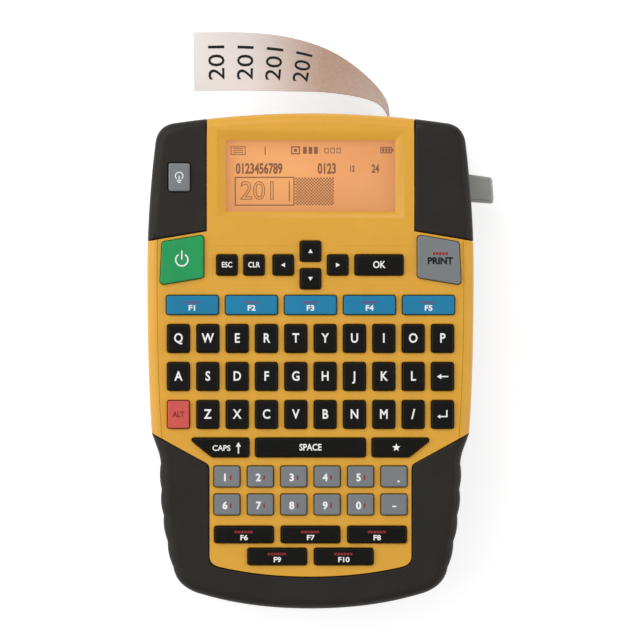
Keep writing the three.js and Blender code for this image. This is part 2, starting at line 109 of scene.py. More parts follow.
def give(made, **values):
    """Sets a node's inputs. An underscore stands for each space in an input's name."""
    for name, value in values.items():
        made.inputs[name.replace("_", " ")].default_value = value
    return made


def add_node(tree, kind, **values):
    return give(tree.nodes.new(f"ShaderNode{kind}"), **values)


def link(output, target):
    """Joins two sockets of one tree, and returns the first."""
    output.id_data.links.new(output, target)
    return output


def noise(tree, scale, detail=3.0, stretch=(1, 1, 1)):
    """Noise in the object's own coordinates. scale is in cycles per metre."""
    place = add_node(tree, "TexCoord")
    mapping = add_node(tree, "Mapping", Scale=stretch)
    made = add_node(tree, "TexNoise", Scale=scale, Detail=detail, Roughness=0.55)
    link(place.outputs["Object"], mapping.inputs["Vector"])
    link(mapping.outputs["Vector"], made.inputs["Vector"])
    return made.outputs["Fac"]


def ramp(value, *stops):
    """Colours along a value, from (position, colour) stops."""
    made = add_node(value.id_data, "ValToRGB")
    elements = made.color_ramp.elements
    while len(elements) < len(stops):
        elements.new(0.5)
    for element, (position, color) in zip(elements, stops):
        element.position = position
        element.color = (*color[:3], 1)
    link(value, made.inputs["Fac"])
    return made.outputs["Color"]


def spread(value, low, high):
    """A value between low and high that follows a noise."""
    made = add_node(value.id_data, "MapRange", From_Min=0.3, From_Max=0.7, To_Min=low, To_Max=high)
    link(value, made.inputs["Value"])
    return made.outputs["Result"]


def mixed(share, first, second):
    made = add_node(share.id_data, "Mix")
    made.data_type = "RGBA"
    for output, name in ((share, "Factor"), (first, "A"), (second, "B")):
        link(output, made.inputs[name])
    return made.outputs["Result"]


def shade(color, factor):
    return [min(1.0, c * factor) for c in color[:3]]


def edge_share(tree, reach):
    """0 on the flat, rising towards 1 near an edge, from how far a rounded normal has turned."""
    rounded_edge = add_node(tree, "Bevel", Radius=reach)
    rounded_edge.samples = 4
    turn = add_node(tree, "VectorMath")
    turn.operation = "DOT_PRODUCT"
    link(rounded_edge.outputs["Normal"], turn.inputs[0])
    link(add_node(tree, "NewGeometry").outputs["Normal"], turn.inputs[1])
    share = add_node(tree, "MapRange", From_Min=0.985, From_Max=0.82, To_Max=0.8)
    link(turn.outputs["Value"], share.inputs["Value"])
    return share.outputs["Result"]


def finish(shader, color, roughness):
    """Joins a colour and a roughness, each the output of a node, to a shader."""
    link(color, shader.inputs["Base Color"])
    link(roughness, shader.inputs["Roughness"])


def surface(name, color, roughness, grain=2600, bump=0.2, mottle=0.04, edge_wear_and_light=1.1, metal=0.0,
            stretch=(1, 1, 1), shine=0.5, reach=0.35):
    """A moulded, cast or drawn surface: faint blotches, a fine grain, and edges painted lighter,
    partly as wear and partly as a painted highlight.
    """
    made, tree, shader = new_material(name)
    blotches = ramp(noise(tree, 70, 4), (0.3, shade(color, 1 - mottle)),
                    (0.7, shade(color, 1 + mottle)))
    # Near each edge the colour turns to this one: rubbed wear together with a painted highlight,
    # lighter where the edge factor is above 1 and darker where it is below.
    rubbed_and_lit = ramp(noise(tree, 400, 2), (0.35, shade(color, edge_wear_and_light)),
                  (0.65, shade(color, (1 + edge_wear_and_light) / 2)))
    finish(shader, mixed(edge_share(tree, reach * MM), blotches, rubbed_and_lit),
           spread(noise(tree, 160), roughness - 0.05, roughness + 0.07))
    grains = add_node(tree, "Bump", Strength=bump, Distance=0.06 * MM)
    link(noise(tree, grain, 2, stretch), grains.inputs["Height"])
    link(grains.outputs["Normal"], shader.inputs["Normal"])
    give(shader, Specular_IOR_Level=shine, Metallic=metal)
    return made


def silicone(name, color, roughness=0.45, mottle=0.05, edge_wear_and_light=1.5, shine=0.25, reach=0.35):
    """A key's coloured rubber, with a painted highlight along its rim."""
    return surface(name, color, roughness, 3600, 0.15, mottle, edge_wear_and_light, shine=shine, reach=reach)


def ink(name, color, mottle=0.08, edge_wear_and_light=0.9, shine=0.2, roughness=0.5, bump=0.1):
    return surface(name, color, roughness, 5000, bump, mottle, edge_wear_and_light, shine=shine)


def clear_sheet(name, color, alpha):
    """A clear moulded sheet with faint smears in its gloss."""
    made, tree, shader = new_material(name)
    finish(shader, ramp(noise(tree, 60), (0.3, color), (0.7, shade(color, 1.1))),
           spread(noise(tree, 120, 4), 0.14, 0.22))
    give(shader, Alpha=alpha)
    return made


def patterned(tree, kind, **values):
    """A pattern of colours laid out in the object's own coordinates."""
    place = add_node(tree, "TexCoord")
    made = add_node(tree, kind, **values)
    link(place.outputs["Object"], made.inputs["Vector"])
    return made.outputs["Color"]


def backlit_display():
    """The lit panel: pale orange, warmer towards one corner, with a faint grid of cells."""
    made, tree, shader = new_material("lit_panel")
    drift = ramp(noise(tree, 22, 1), (0.35, (0.292, 0.115, 0.040)), (0.68, (0.305, 0.13, 0.040)))
    cells = patterned(tree, "TexChecker", Scale=2600, Color1=(0, 0, 0, 1),
                      Color2=(0.16, 0.16, 0.16, 1))
    darker = ramp(noise(tree, 30, 1), (0.3, (0.265, 0.096, 0.030)), (0.7, (0.27, 0.105, 0.030)))
    lit = mixed(cells, drift, darker)
    finish(shader, lit, spread(noise(tree, 200, 2), 0.3, 0.4))
    link(lit, shader.inputs["Emission Color"])
    give(shader, Emission_Strength=1.95, Specular_IOR_Level=0.1)
    return made


def label_stock():
    """Vinyl tape: white where it lies face up, with painted shade turning it brown towards the end
    that leaves the cutter.
    """
    made, tree, shader = new_material("tape_vinyl")
    place = add_node(tree, "TexCoord")
    split = add_node(tree, "SeparateXYZ")
    along = add_node(tree, "MapRange", From_Min=-48 * MM, From_Max=33 * MM)
    link(place.outputs["Object"], split.inputs["Vector"])
    link(split.outputs["X"], along.inputs["Value"])
    # Painted shade along the strip: pale at its free end, darkening to brown where it leaves the
    # cutter.
    painted_shade_along = ramp(along.outputs["Result"], (0.0, (0.82, 0.79, 0.76)), (0.28, (0.74, 0.67, 0.66)),
                 (0.46, (0.60, 0.48, 0.43)), (0.66, (0.43, 0.26, 0.18)), (1.0, (0.36, 0.21, 0.13)))
    flecks = ramp(noise(tree, 900, 2), (0.35, (0, 0, 0)), (0.7, (0.12, 0.12, 0.12)))
    paper = ramp(noise(tree, 500, 2), (0.3, (0.70, 0.66, 0.63)), (0.7, (0.75, 0.71, 0.68)))
    finish(shader, mixed(flecks, painted_shade_along, paper), spread(noise(tree, 300, 2), 0.38, 0.5))
    return made


def circuit_board():
    """Green solder mask over a faint pattern of copper runs."""
    made, tree, shader = new_material("solder_mask")
    runs = patterned(tree, "TexBrick", Scale=300, Mortar_Size=0.04, Color1=(0.012, 0.11, 0.045, 1),
                     Color2=(0.014, 0.13, 0.055, 1), Mortar=(0.04, 0.26, 0.11, 1))
    finish(shader, runs, spread(noise(tree, 300, 2), 0.3, 0.45))
    return made


# Each edge factor below paints the material's edges lighter, partly as wear and partly as a painted
# highlight.
YELLOW = surface("yellow_abs", (0.705, 0.355, 0.030), 0.38, mottle=0.03, edge_wear_and_light=1.22, shine=0.42)
RUBBER = surface("black_rubber", (0.0165, 0.0135, 0.011), 0.5, grain=3200, bump=0.4, mottle=0.12,
                 edge_wear_and_light=2.2, shine=0.22)
CASING = surface("black_abs", (0.016, 0.0145, 0.014), 0.45, grain=2400, bump=0.35, mottle=0.1,
                 edge_wear_and_light=2.0, shine=0.25)
# The black keys' rims get a strong painted highlight, 22 times their own colour.
BLACK_KEY = silicone("black_silicone", (0.0035, 0.003, 0.0025), 0.34, mottle=0.12, edge_wear_and_light=22.0,
                     shine=0.16, reach=0.5)
GREY_KEY = silicone("grey_silicone", (0.18, 0.195, 0.205), 0.38, mottle=0.04, edge_wear_and_light=1.9, shine=0.3,
                    reach=0.5)
BLUE_KEY = silicone("blue_silicone", (0.008, 0.19, 0.36))
GREEN_KEY = silicone("green_silicone", (0.013, 0.30, 0.088), edge_wear_and_light=1.6)
RED_KEY = silicone("red_silicone", (0.58, 0.09, 0.072), mottle=0.04, edge_wear_and_light=1.2)
MAUVE_INK = ink("mauve_ink", (0.13, 0.085, 0.2))
WHITE_INK = ink("white_ink", (0.84, 0.84, 0.82), mottle=0.05, edge_wear_and_light=0.95)
RED_INK = ink("red_ink", (0.27, 0.022, 0.028))
DARK_INK = ink("dark_ink", (0.012, 0.011, 0.012), mottle=0.1, edge_wear_and_light=1.2, shine=0.15)
DISPLAY_INK = ink("display_ink", (0.2, 0.056, 0.016), mottle=0.06, edge_wear_and_light=1.0, shine=0.1,
                  roughness=0.45, bump=0.05)
LEVER = surface("grey_acetal", (0.42, 0.425, 0.39), 0.4, edge_wear_and_light=1.25, shine=0.3)
NYLON = surface("white_nylon", (0.76, 0.73, 0.66), 0.45, grain=2200, mottle=0.03, edge_wear_and_light=0.95)
CASSETTE = surface("grey_polystyrene", (0.07, 0.072, 0.077), 0.4, mottle=0.06, edge_wear_and_light=1.6)
SILICONE = surface("mat_silicone", (0.09, 0.09, 0.095), 0.6, mottle=0.06, edge_wear_and_light=1.2)
ALUMINIUM = surface("pressed_sheet", (0.60, 0.61, 0.62), 0.36, grain=900, bump=0.3, metal=1.0,
                    stretch=(1, 14, 1))
STEEL = surface("bright_steel", (0.62, 0.62, 0.63), 0.24, grain=1500, metal=1.0,
                stretch=(10, 1, 1))
JACKET = surface("cell_jacket", (0.035, 0.038, 0.045), 0.32, bump=0.08, mottle=0.08, edge_wear_and_light=1.4)
COPPER = surface("cell_band", (0.60, 0.27, 0.12), 0.3, bump=0.08, mottle=0.05, metal=1.0)
DISPLAY_SHEET = clear_sheet("display_sheet", (0.90, 0.70, 0.50), 0.05)
SMOKED_SHEET = clear_sheet("smoked_sheet", (0.05, 0.05, 0.055), 0.45)
PANEL = backlit_display()
TAPE = label_stock()
BOARD = circuit_board()


# ---- building meshes


def linked(name, data):
    """A new object in the scene."""
    made = bpy.data.objects.new(name, data)
    bpy.context.scene.collection.objects.link(made)
    return made


class Shape:
    """The faces of one piece, in millimetres, each with the number of one of its materials."""

    def __init__(self):
        self.points = []
        self.faces = []
        self.numbers = []

    def add(self, points, faces, number=0):
        base = len(self.points)
        self.points += [tuple(p) for p in points]
        self.faces += [[base + i for i in face] for face in faces]
        self.numbers += [number] * len(faces)

    def piece(self, name, slot, materials, replaces=(), body="housing"):
        mesh = bpy.data.meshes.new(name)
        mesh.from_pydata([[c * MM for c in p] for p in self.points], [], self.faces)
        for material in materials:
            mesh.materials.append(material)
        mesh.polygons.foreach_set("material_index", self.numbers)
        work = bmesh.new()
        work.from_mesh(mesh)
        bmesh.ops.remove_doubles(work, verts=work.verts, dist=2e-7)
        bmesh.ops.dissolve_degenerate(work, edges=work.edges, dist=1e-6)
        bmesh.ops.recalc_face_normals(work, faces=work.faces)
        work.to_mesh(mesh)
        work.free()
        mesh.shade_smooth()
        mesh.set_sharp_from_angle(angle=CREASE)
        made = linked(name, mesh)
        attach(made, body)
        if replaces:
            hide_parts(*replaces)
        return made


def curve(start, control, end, steps=10):
    """The points of a quadratic curve after its start."""
    made = []
    for i in range(1, steps + 1):
        t = i / steps
        made.append(tuple((1 - t) ** 2 * a + 2 * t * (1 - t) * c + t * t * b
                          for a, c, b in zip(start, control, end)))
    return made


def rounded(corners, radius, steps):
    """An outline with each corner rounded to an arc, a smaller one where its sides are short."""
    made = []
    for i, (x, y) in enumerate(corners):
        before, after = corners[i - 1], corners[(i + 1) % len(corners)]
        run, rise = dist(before, (x, y)), dist((x, y), after)
        ux, uy = (x - before[0]) / run, (y - before[1]) / run
        vx, vy = (after[0] - x) / rise, (after[1] - y) / rise
        turn = atan2(ux * vy - uy * vx, ux * vx + uy * vy)
        slope = tan(abs(turn) / 2)
        reach = min(radius * slope, 0.47 * run, 0.47 * rise)
        side = copysign(reach / slope, turn)
        cx, cy = x - ux * reach - uy * side, y - uy * reach + ux * side
        start = atan2(y - uy * reach - cy, x - ux * reach - cx)
        for k in range(steps + 1):
            angle = start + turn * k / steps
            made.append((cx + abs(side) * cos(angle), cy + abs(side) * sin(angle)))
    return made


def rectangle(x0, x1, y0, y1):
    return [(x0, y0), (x1, y0), (x1, y1), (x0, y1)]


def circle(x, y, radius, sides=24):
    angles = [2 * pi * i / sides for i in range(sides)]
    return [(x + radius * cos(a), y + radius * sin(a)) for a in angles]


def marked(points):
    """An outline whose edges all have the one profile named edge."""
    return [(x, y, "edge") for x, y in points]


def grown(corners, by):
    """An outline with every side moved outwards."""
    return [inset_corner(corners[i - 1], here, corners[(i + 1) % len(corners)], -by, -by)
            for i, here in enumerate(corners)]


def inset_corner(before, here, after, inset_before, inset_after):
    """Where two edges of an outline meet once each has moved inwards by its own distance."""

    def inward(a, b):
        length = dist(a, b) or 1.0
        return (a[1] - b[1]) / length, (b[0] - a[0]) / length

    (ux, uy), (vx, vy) = inward(before, here), inward(here, after)
    cross = ux * vy - uy * vx
    if abs(cross) < 0.03:
        mean = (inset_before + inset_after) / 2
        length = hypot(ux + vx, uy + vy)
        return here[0] + mean * (ux + vx) / length, here[1] + mean * (uy + vy) / length
    x = (inset_before * vy - inset_after * uy) / cross
    y = (inset_after * ux - inset_before * vx) / cross
    return here[0] + x, here[1] + y


def rings(outline, profiles):
    """A loop of points for each step of the profiles: (inset, height) for each kind of edge."""
    made = []
    for step in range(len(next(iter(profiles.values())))):
        loop = []
        for i, (x, y, kind) in enumerate(outline):
            before, after = outline[i - 1], outline[(i + 1) % len(outline)]
            first, second = profiles[before[2]][step], profiles[kind][step]
            px, py = inset_corner(before[:2], (x, y), after[:2], first[0], second[0])
            loop.append((px, py, min(first[1], second[1])))
        made.append(loop)
    return made


def lofted(points, profile):
    """The loops of an outline whose edges all follow one profile."""
    return rings(marked(points), {"edge": profile})


def upside_down(loops):
    return [[(x, y, -z) for x, y, z in loop] for loop in loops]


def upright(points, heights):
    """The same outline at each of several heights."""
    return [[(x, y, z) for x, y in points] for z in heights]


def skin(shape, loops, number=0):
    """Faces between each loop and the next."""
    for low, high in zip(loops, loops[1:]):
        count = len(low)
        faces = [(i, (i + 1) % count, count + (i + 1) % count, count + i) for i in range(count)]
        shape.add([*low, *high], faces, number)


def cap(shape, loops, number=0):
    """A flat face bounded by the first loop, with the other loops as holes in it."""
    flat = [[Vector((p[0], p[1], 0)) for p in loop] for loop in loops]
    shape.add([p for loop in loops for p in loop], tessellate_polygon(flat), number)


def closed(shape, loops, number=0):
    """A solid through the loops, with a flat face at each end."""
    skin(shape, loops, number)
    cap(shape, [loops[0]], number)
    cap(shape, [loops[-1]], number)


def fillet(radius, top, steps):
    """(inset, height) round an upper edge, then a short flat, for the face beyond to shade flat."""
    angles = [pi / 2 * i / steps for i in range(steps + 1)]
    made = [(radius * (1 - cos(a)), top - radius * (1 - sin(a))) for a in angles]
    return [*made, (radius + 0.12, top)]


def block(shape, points, low, high, radius, steps=3):
    """A closed prism with a rounded upper edge."""
    profile = [(0, low), (0, high - radius - 0.1), *fillet(radius, high, steps)]
    closed(shape, lofted(points, profile))


# ---- casing outlines


def half_outline():
    """The right half of the body seen from the front, from the top centre to the bottom centre."""
    w, l = HALF_WIDTH, HALF_LENGTH
    corners = [
        [(0, l), (28, l), (55, l - 4)],
        [(55, l - 4), (61.4, l - 5.2), (62.2, l - 12.2)],
        [(62.2, l - 12.2), (w, 60), (w, 36)],
        [(w, 36), (w, -4), (w - 1.8, -29)],
        [(w - 1.8, -29), (w - 5, -36), (w - 5.4, -41)],
    ]
    points = [(0.0, l)]
    for corner in corners:
        points += curve(*corner, 12)
    steps, straight = 6 * RIB_COUNT, 12
    for i in range(1, steps + 1):
        down = RIB_PITCH * RIB_COUNT * i / steps
        x = w - 5.4 - 0.4 * min(down, straight) / straight
        beyond = max(0, down - straight)
        x -= beyond * 0.06 + (beyond / 26) ** 2 * 2.2
        rib = RIB_HEIGHT * abs(sin(pi * down / RIB_PITCH))
        points.append((x + rib, RIB_TOP - down))
    points += curve(points[-1], (53.6, -91), (43, 5.6 - l), 10)
    points += curve((43, 5.6 - l), (24, -l), (0, -l), 12)
    return points


HALF = half_outline()


def meet(a, slope):
    """Where the half outline crosses the line through a: (number of the next point, crossing).

    A slope of None is an upright line, and only its crossing in the upper half counts.
    """

    def side(p):
        return p[0] - a[0] if slope is None else p[1] - a[1] - slope * (p[0] - a[0])

    reach = 20.0
    for i in range(1, len(HALF)):
        p, q = HALF[i - 1], HALF[i]
        here, there = side(p), side(q)
        near = q[1] > 0 if slope is None else abs(q[1] - a[1]) < reach
        if here * there <= 0 and here != there and near:
            share = here / (here - there)
            return i, tuple(u + (v - u) * share for u, v in zip(p, q))
    raise ValueError("the line misses the outline")


def guard_seam(grow):
    """The right guard's inner corner, and where its two seams reach the outline."""
    corner = (GUARD_CORNER[0] - grow, GUARD_CORNER[1] - grow)
    return corner, meet(corner, -GUARD_SLOPE), meet(corner, None)


def panel_edge(grow):
    """The right half of the panel's lower seam: its tip beside the grip, and then its points."""
    half, low = PANEL_HALF + grow, PANEL_LOW - grow
    shoulder = (half + 1, PANEL_SHOULDER)
    tip = meet(shoulder, PANEL_SLOPE)
    points = [shoulder]
    points += curve(shoulder, (half, PANEL_SHOULDER - 0.6), (half, PANEL_SHOULDER - 3), 4)
    points.append((half, low + 8))
    points += curve(points[-1], (half, low + 5), (half - 3.5, low + 4), 5)
    points += curve(points[-1], (20, low), (0, low), 8)
    return tip, points


def between(first, last, *ends, clear=1.2):
    """The half outline's points between two numbers, backwards, clear of the ends of seams."""
    return [p for p in reversed(HALF[first:last])
            if all(dist(p, end) > clear for end in ends)]


def relieved(outline, outer):
    """Adds a point to each seam where the rolled edge ends, so that the seam's face is whole."""
    made = []
    count = len(outline)
    for i, (x, y, kind) in enumerate(outline):
        before, after = outline[i - 1], outline[(i + 1) % count]
        starts = before[2] in outer and kind not in outer
        ends = kind not in outer and after[2] in outer
        made.append((x, y, kind))
        if starts:
            made.append((*inset_corner(before[:2], (x, y), after[:2], RELIEF, 0), kind))
        if ends:
            beyond = outline[(i + 2) % count]
            made.append((*inset_corner((x, y), after[:2], beyond[:2], 0, RELIEF), kind))
    return made


def shell_profiles(top, bottom, softness):
    """Profiles of the outer wall, plain or with a fine groove beside the deck, and of a seam."""
    under = top - DECK_THICKNESS
    roll = fillet(ROLL - 0.12, top, 6)
    soft = fillet(softness, top, 6)
    ditch = [(ROLL + 0.04, top - 0.3), (ROLL + 0.22, top - 0.3), (ROLL + 0.3, top)]
    level = [(inset, top) for inset, _ in ditch]
    flat = [(softness + 0.12 + step, top) for step in (0.01, 0.02, 0.03)]
    inner = [(ROLL, under), (ROLL, bottom), (0, bottom)]
    return {
        "edge": [*inner, (0, top - ROLL - 0.6), *roll, *level],
        "grooved": [*inner, (0, top - ROLL - 0.6), *roll, *ditch],
        "seam": [(0, under), (0, under), (0, under), (0, under + 0.3), *soft, *flat],
    }


def rim_profile(top, rim):
    """The wall of a hole through the deck, with a rounded rim."""
    under = top - DECK_THICKNESS
    curl = [(-share * rim, top - drop * rim)
            for share, drop in ((0.1, 0.6), (0.35, 0.25), (0.75, 0.03), (1, 0))]
    return {"edge": [(0, under), (0, top - rim), *curl, (-rim - 0.04, top)]}


def pierced(shape, loops, walls):
    """A solid through the loops, with holes through both its ends, whose walls are loops too."""
    for part in (loops, *walls):
        skin(shape, part)
    for end in (-1, 0):
        cap(shape, [loops[end], *[wall[end] for wall in walls]])


def shell(shape, outline, top, softness, holes=()):
    """A casing piece open below: rolled edges, seams, a deck, and holes as (outline, profiles)."""
    loops = rings(relieved(outline, ("edge", "grooved")), shell_profiles(top, PARTING_Z, softness))
    pierced(shape, loops, [rings(points, own) for points, own in holes])


# ---- keys


# One key body: its colour, the outlines of its caps, and a legend, a list of parts, for each.
Key = namedtuple("Key", "node color caps legends")

MATERIALS = {"black": BLACK_KEY, "grey": GREY_KEY, "blue": BLUE_KEY, "green": GREEN_KEY,
             "red": RED_KEY}


def single(node):
    low, high = box(node)
    return [rectangle(low.x + FLANGE, high.x - FLANGE, low.y + FLANGE, high.y - FLANGE)]


def row_caps(node, count, size):
    low, high = box(node)
    first = low.x + FLANGE
    pitch = (high.x - low.x - 2 * FLANGE - size[0]) / (count - 1)
    y = (low.y + high.y) / 2
    starts = [first + i * pitch for i in range(count)]
    return [rectangle(x, x + size[0], y - size[1] / 2, y + size[1] / 2) for x in starts]


def on_side(corners, side):
    """One outline drawn on the right, or its mirror image when side is -1."""
    return [[(side * x, y) for x, y in (corners if side > 0 else reversed(corners))]]


def slanted_cap(node, side):
    """A key beside the space bar, with its outer end cut along the grip's slope."""
    low, high = box(node)
    inner = min(abs(low.x), abs(high.x)) + FLANGE
    outer = max(abs(low.x), abs(high.x)) - FLANGE - 0.2
    y0, y1 = low.y + FLANGE, high.y - FLANGE
    return on_side([(inner, y0), (outer - 9.4, y0), (outer + 0.3, y1), (inner, y1)], side)


def middle(cap_outline):
    xs = [p[0] for p in cap_outline]
    ys = [p[1] for p in cap_outline]
    return (min(xs) + max(xs)) / 2, (min(ys) + max(ys)) / 2


def characters(words, size, bend=False, **settings):
    """The points and faces of some characters round the origin, with settings of the text curve."""
    data = bpy.data.curves.new("words", "FONT")
    data.body, data.size = words, size
    data.align_x = data.align_y = "CENTER"
    for name, value in settings.items():
        setattr(data, name, value)
    holder = linked("words", data)
    mesh = bpy.data.meshes.new_from_object(holder)
    if bend:
        divide(mesh)
    made = [v.co.copy() for v in mesh.vertices], [list(f.vertices) for f in mesh.polygons]
    bpy.data.objects.remove(holder)
    bpy.data.curves.remove(data)
    bpy.data.meshes.remove(mesh)
    return made


def write(shape, words, x, y, z, size, bold, stretch, number=1, turn=0.0, place=None):
    """Generic characters as thin solid ink, centred on (x, y). place bends them onto a surface."""
    points, faces = characters(words, size, bool(place), extrude=INK_HEIGHT / 2,
                               offset=bold * size, resolution_u=3)
    c, s, rise = cos(turn), sin(turn), z + INK_HEIGHT / 2
    flat = [(p.x * stretch[0], p.y * stretch[1], rise + p.z) for p in points]
    level = [(x + u * c - v * s, y + u * s + v * c, h) for u, v, h in flat]
    shape.add([place(p) if place else p for p in level], faces, number)


def divide(mesh):
    """Splits the long edges of a mesh, so that it can follow a bent surface."""
    work = bmesh.new()
    work.from_mesh(mesh)
    for _ in range(3):
        long = [e for e in work.edges if e.calc_length() > 1.2]
        bmesh.ops.subdivide_edges(work, edges=long, cuts=1)
        bmesh.ops.triangulate(work, faces=[f for f in work.faces if len(f.verts) > 4])
    work.to_mesh(mesh)
    work.free()


def mark(shape, outline, z, number):
    """A flat printed shape."""
    closed(shape, lofted(outline, [(0, z), (0, z + INK_HEIGHT)]), number)


def band(x, y, radius, width, start, end):
    """The outline of part of a ring, between two angles in degrees."""
    steps = 20
    angles = [radians(start + (end - start) * i / steps) for i in range(steps + 1)]
    outer, inner = [[(x + r * cos(a), y + r * sin(a)) for a in angles]
                    for r in (radius + width / 2, radius - width / 2)]
    return [*outer, *reversed(inner)]


def turned(points, x, y, degrees, scale=1.0):
    """An outline drawn round the origin, scaled, turned and moved to (x, y)."""
    c, s = cos(radians(degrees)), sin(radians(degrees))
    return [(x + scale * (c * u - s * v), y + scale * (s * u + c * v)) for u, v in points]


ARROW_HEAD = [(1, 0), (-0.8, 1), (-0.8, -1)]
ARROW = [(-2, -0.22), (0.4, -0.22), (0.4, -0.9), (2, 0), (0.4, 0.9), (0.4, 0.22), (-2, 0.22)]


def drawn(outline, number=1):
    """A part of a legend: a shape drawn round the middle of its cap."""

    def draw(shape, x, y, z):
        mark(shape, [(x + u, y + v) for u, v in outline], z, number)

    return draw


def worded(words, size, dx=0.0, dy=0.0, number=1, bold=0.02, stretch=(0.9, 1.05)):
    """A part of a legend: characters, off the middle of their cap by (dx, dy)."""

    def draw(shape, x, y, z):
        write(shape, words, x + dx, y + dy, z, size, bold, stretch, number)

    return draw


def dashes(x, y, count, height):
    """A row of short red bars, in place of the second function of a key."""
    starts = [x + (i - count / 2) * 1.25 for i in range(count)]
    return [drawn(rectangle(left, left + 0.95, y, y + height), 2) for left in starts]


def numbered(words, size, count):
    """A function number with a row of red marks above it."""
    return [worded(words, size, 0, -1.3, bold=0.03, stretch=(1.15, 1)),
            *dashes(0, 0.6, count, 0.9)]


def digit(words):
    """A number with a small red mark beside it, or a sign that sits lower or to the right."""
    if words == ".":
        return [drawn(circle(1.8, -1.9, 0.45, 12))]
    if words == "-":
        return [drawn(rectangle(-0.7, 0.9, -1.0, -0.45))]
    return [worded(words, 4.1, -0.8, -0.5, bold=0.035, stretch=(1, 1)),
            drawn(rectangle(1.2, 1.8, -1.3, 0.5), 2)]


def pointing(degrees):
    return [drawn(turned(ARROW_HEAD, 0, 0, degrees, 0.9))]


def star(x, y):
    """Five points, as radii and angles that alternate between tip and notch."""
    turns = [(0.72 if i % 2 else 1.7, pi / 2 + i * pi / 5) for i in range(10)]
    return [(x + r * cos(a), y + r * sin(a)) for r, a in turns]


POWER = [drawn(band(0, 0, 2.45, 0.55, 122, 418)), drawn(rectangle(-0.27, 0.27, 0.2, 3.7))]
BULB = [drawn(band(0, 0.5, 1.5, 0.4, -50, 230)), drawn(rectangle(-0.9, 0.9, -1.5, -1.1)),
        drawn(rectangle(-0.7, 0.7, -2.2, -1.8)), drawn(rectangle(-0.2, 0.2, -0.9, 0.6))]
ENTER = [drawn([(-2.1, -0.8), (-0.9, -1.6), (-0.9, -1.05), (2.0, -1.05), (2.0, 1.8), (1.45, 1.8),
                (1.45, -0.55), (-0.9, -0.55), (-0.9, 0.0)])]
CAPS = [worded("CAPS", 3.1, 1.2, -0.3, stretch=(1, 1)), drawn(turned(ARROW, 8.0, -0.1, 90, 1.15))]
FAVOURITES = [drawn(star(-2.5, 0))]  # towards the straight end of its key
PRINT = [worded("PRINT", 3.7, 0.4, -0.5, 3, 0.045, (1, 1)), *dashes(0.6, 1.9, 5, 1.2)]


def keypad():
    """Every key. A key of its own is a row of (body, colour, legend)."""
    letters = [[worded(c, 5.0)] for c in "QWERTYUIOPASDFGHJKLZXCVBNM"]
    digits = [digit(c) for c in "12345.67890-"]
    made = [Key("power_key", "green", on_side(SLOPED_CAP, -1), [POWER]),
            Key("print_key", "grey", on_side(SLOPED_CAP, 1), [PRINT])]
    for node, color, legend in (
        ("backlight_key", "grey", BULB), ("escape_key", "black", [worded("ESC", 2.9)]),
        ("clear_key", "black", [worded("CLR", 2.9)]), ("left_key", "black", pointing(180)),
        ("right_key", "black", pointing(0)), ("up_key", "black", pointing(90)),
        ("down_key", "black", pointing(270)), ("ok_key", "black", [worded("OK", 3.7)]),
        ("alt_key", "red", [worded("ALT", 2.9, number=2, bold=0.03)]),
        ("backspace_key", "black", [drawn(turned(ARROW, 0, 0, 180, 1.15))]),
        ("slash_key", "black", [worded("/", 5.0, bold=0.035)]), ("enter_key", "black", ENTER),
    ):
        made.append(Key(node, color, single(node), [legend]))
    for row, legends in (("top", letters[:10]), ("middle", letters[10:19]),
                         ("bottom", letters[19:])):
        node = f"{row}_letter_keys"
        made.append(Key(node, "black", row_caps(node, len(legends), LETTER_CAP), legends))
    made += [Key("caps_key", "black", slanted_cap("caps_key", -1), [CAPS]),
             Key("space_key", "black", single("space_key"), [[worded("SPACE", 3.5)]]),
             Key("favourites_key", "black", slanted_cap("favourites_key", 1), [FAVOURITES])]
    for row, legends in (("upper", digits[:6]), ("lower", digits[6:])):
        node = f"{row}_number_keys"
        made.append(Key(node, "grey", row_caps(node, len(legends), NUMBER_CAP), legends))
    for i in range(1, 6):
        blue, black = f"shortcut_key_{i}", f"function_key_{i}"
        made.append(Key(blue, "blue", single(blue), [numbered(f"F{i}", 3.0, 5)]))
        made.append(Key(black, "black", single(black), [numbered(f"F{i + 5}", 2.8, 6)]))
    return made


def corner_radius(key):
    return 1.4 if key.node in LARGE_KEYS else 0.8


def make_keys(keys):
    base = DECK_Z - DECK_THICKNESS - CAP_DEPTH
    for key in keys:
        shape = Shape()
        corner = corner_radius(key)
        for corners, legend in zip(key.caps, key.legends):
            outline = rounded(grown(corners, -CAP_INSET), corner, 5)
            block(shape, outline, base, CAP_TOP, radius=0.6, steps=4)
            for part in legend:
                part(shape, *middle(corners), CAP_TOP)
        second = MAUVE_INK if key.color == "blue" else RED_INK
        shape.piece(f"{key.node}_cap", f"key_{key.color}",
                    [MATERIALS[key.color], WHITE_INK, second, DARK_INK], [key.node], key.node)


# ---- casing


def key_openings(keys, top):
    """The holes for some keys, through a face at height top."""
    made = []
    for key in keys:
        profile = rim_profile(top, 0.12 if key.node in LARGE_KEYS else 0.45)
        for corners in key.caps:
            opening = rounded(grown(corners, 0.03), corner_radius(key) + 0.1, 4)
            made.append((marked(opening), profile))
    return made


def of_kind(kind, points):
    return [(x, y, kind) for x, y in points]


